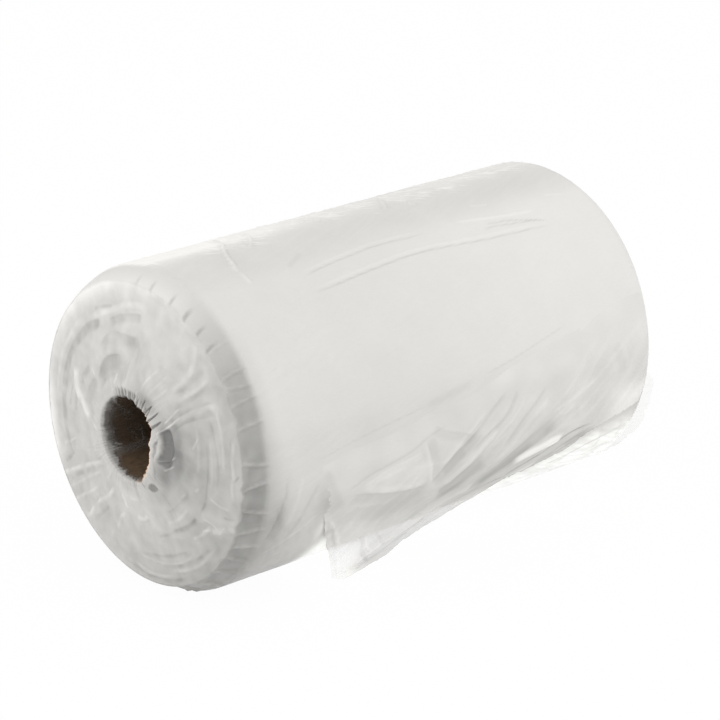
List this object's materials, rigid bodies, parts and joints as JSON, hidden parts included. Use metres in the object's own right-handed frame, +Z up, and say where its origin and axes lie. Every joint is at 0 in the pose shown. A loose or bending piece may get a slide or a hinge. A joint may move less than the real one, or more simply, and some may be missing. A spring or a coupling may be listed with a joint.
{
  "type": "plastic bag roll",
  "caption": "Roll of flat plastic bags wound on a cardboard core, lying on its side in a loose film wrap that is gathered into both ends of the core.",
  "frame": {"origin": "on the surface that the roll lies on, under the middle of its box", "axes": "+X along the roll's axis, away from the near end whose middle turns stand out; +Z up; the wrap's slack flap hangs on the -Y side"},
  "size_m": [0.259, 0.154, 0.1533],
  "materials": {
    "core_board": "brown spiral-wound board, matte",
    "bag_film": "milky white film, edges of many turns",
    "wrap_film": "thin milky translucent film, crumpled, soft gloss"
  },
  "bodies": {
    "root": {"core_tube": "core_board", "bag_roll": "bag_film", "outer_wrap": "wrap_film"}
  },
  "joints": []
}
